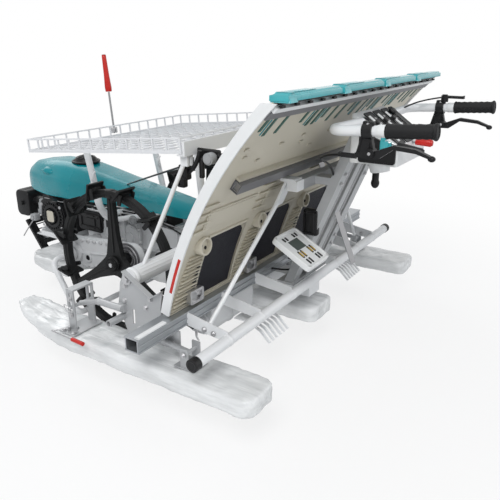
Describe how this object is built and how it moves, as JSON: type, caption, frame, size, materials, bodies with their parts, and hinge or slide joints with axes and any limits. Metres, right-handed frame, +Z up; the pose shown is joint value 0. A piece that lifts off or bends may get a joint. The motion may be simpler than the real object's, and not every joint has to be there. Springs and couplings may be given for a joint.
{
  "type": "rice transplanter",
  "caption": "Walking rice transplanter with a curved seedling tray, planting rail, wire rack, hooded engine, lugged wheels, floats and two rear handles.",
  "frame": {"origin": "middle of the bounding box on the floor", "axes": "+X forward, towards the engine; +Y to the machine's left; +Z up"},
  "size_m": [2.023, 1.51, 1.0378],
  "materials": {
    "white_paint": "gloss",
    "white_wire": "gloss",
    "grey_steel": "satin",
    "cast_white": "satin",
    "grey_cast": "satin",
    "black_steel": "satin",
    "black_plastic": "matte",
    "black_cast": "satin",
    "teal_plastic": "gloss",
    "cream_plastic": "matte",
    "white_plastic": "satin",
    "red_plastic": "gloss",
    "wheel_rubber": "matte",
    "grip_rubber": "matte"
  },
  "bodies": {
    "chassis": {"air_cleaner": "black_plastic", "bar_plates": "white_paint", "brake_levers": "black_plastic", "centre_float": "white_plastic", "centre_float_pads": "grey_steel", "control_box": "white_plastic", "end_plates": "white_paint", "engine_base": "white_paint", "engine_block": "grey_cast", "engine_guard": "black_steel", "fan_cover": "black_plastic", "float_arms": "white_paint", "float_brackets": "white_paint", "fuel_cap": "black_plastic", "grips": "grip_rubber", "guard_bar": "white_paint", "guard_caps": "black_plastic", "guide_rail": "cast_white", "handle_bars": "white_paint", "handle_column": "white_paint", "hood": "teal_plastic", "hood_props": "black_steel", "lever_gate": "white_plastic", "main_beam": "white_paint", "muffler": "black_steel", "planting_arms": "black_cast", "planting_beam": "white_paint", "planting_cases": "cast_white", "rack_floor": "white_wire", "rack_front_legs": "white_paint", "rack_plate": "white_paint", "rack_rear_legs": "white_paint", "rack_rim": "white_wire", "rack_struts": "white_paint", "rakes": "white_paint", "side_float_left": "white_plastic", "side_float_right": "white_plastic", "sight_grip": "red_plastic", "sight_pole": "grey_steel", "transmission_case": "grey_cast", "tray_stays": "white_paint"},
    "tray": {"seedling_tray": "cream_plastic", "tray_screens": "black_plastic", "lane_walls": "cream_plastic", "tray_side_plates": "white_plastic", "tray_top_rail": "white_plastic", "tray_channel": "grey_steel", "tray_stoppers": "teal_plastic"},
    "swing_left": {"swing_case_left": "cast_white"},
    "swing_right": {"swing_case_right": "cast_white"},
    "wheel_left": {"wheel_left": "wheel_rubber"},
    "wheel_right": {"wheel_right": "wheel_rubber"},
    "front_stand": {"front_stand": "white_paint"},
    "marker_left": {"side_marker_left": "grey_steel", "marker_tip_left": "red_plastic"},
    "marker_right": {"side_marker_right": "grey_steel", "marker_tip_right": "red_plastic"}
  },
  "joints": [
    {"name": "tray_slide", "type": "slide", "parent": "chassis", "child": "tray", "axis": [0, 1, 0], "range_m": [-0.14, 0.14]},
    {"name": "swing_left_pivot", "type": "hinge", "parent": "chassis", "child": "swing_left", "pos_m": [0.4515, 0.216, 0.262], "axis": [0, 1, 0], "range_deg": [-10, 10]},
    {"name": "wheel_left_spin", "type": "hinge", "parent": "swing_left", "child": "wheel_left", "pos_m": [0.1415, 0.3, 0.29975], "axis": [0, 1, 0], "continuous": true},
    {"name": "swing_right_pivot", "type": "hinge", "parent": "chassis", "child": "swing_right", "pos_m": [0.4515, -0.216, 0.262], "axis": [0, 1, 0], "range_deg": [-10, 10]},
    {"name": "wheel_right_spin", "type": "hinge", "parent": "swing_right", "child": "wheel_right", "pos_m": [0.1415, -0.3, 0.29975], "axis": [0, 1, 0], "continuous": true},
    {"name": "front_stand_fold", "type": "hinge", "parent": "chassis", "child": "front_stand", "pos_m": [0.5365, 0, 0.221], "axis": [0, 1, 0], "range_deg": [-120, 0]},
    {"name": "marker_left_swing", "type": "hinge", "parent": "chassis", "child": "marker_left", "pos_m": [0.0065, 0.654, 0.218], "axis": [0, 0, 1], "range_deg": [-65, 0]},
    {"name": "marker_right_swing", "type": "hinge", "parent": "chassis", "child": "marker_right", "pos_m": [0.0065, -0.654, 0.218], "axis": [0, 0, -1], "range_deg": [-65, 0]}
  ]
}
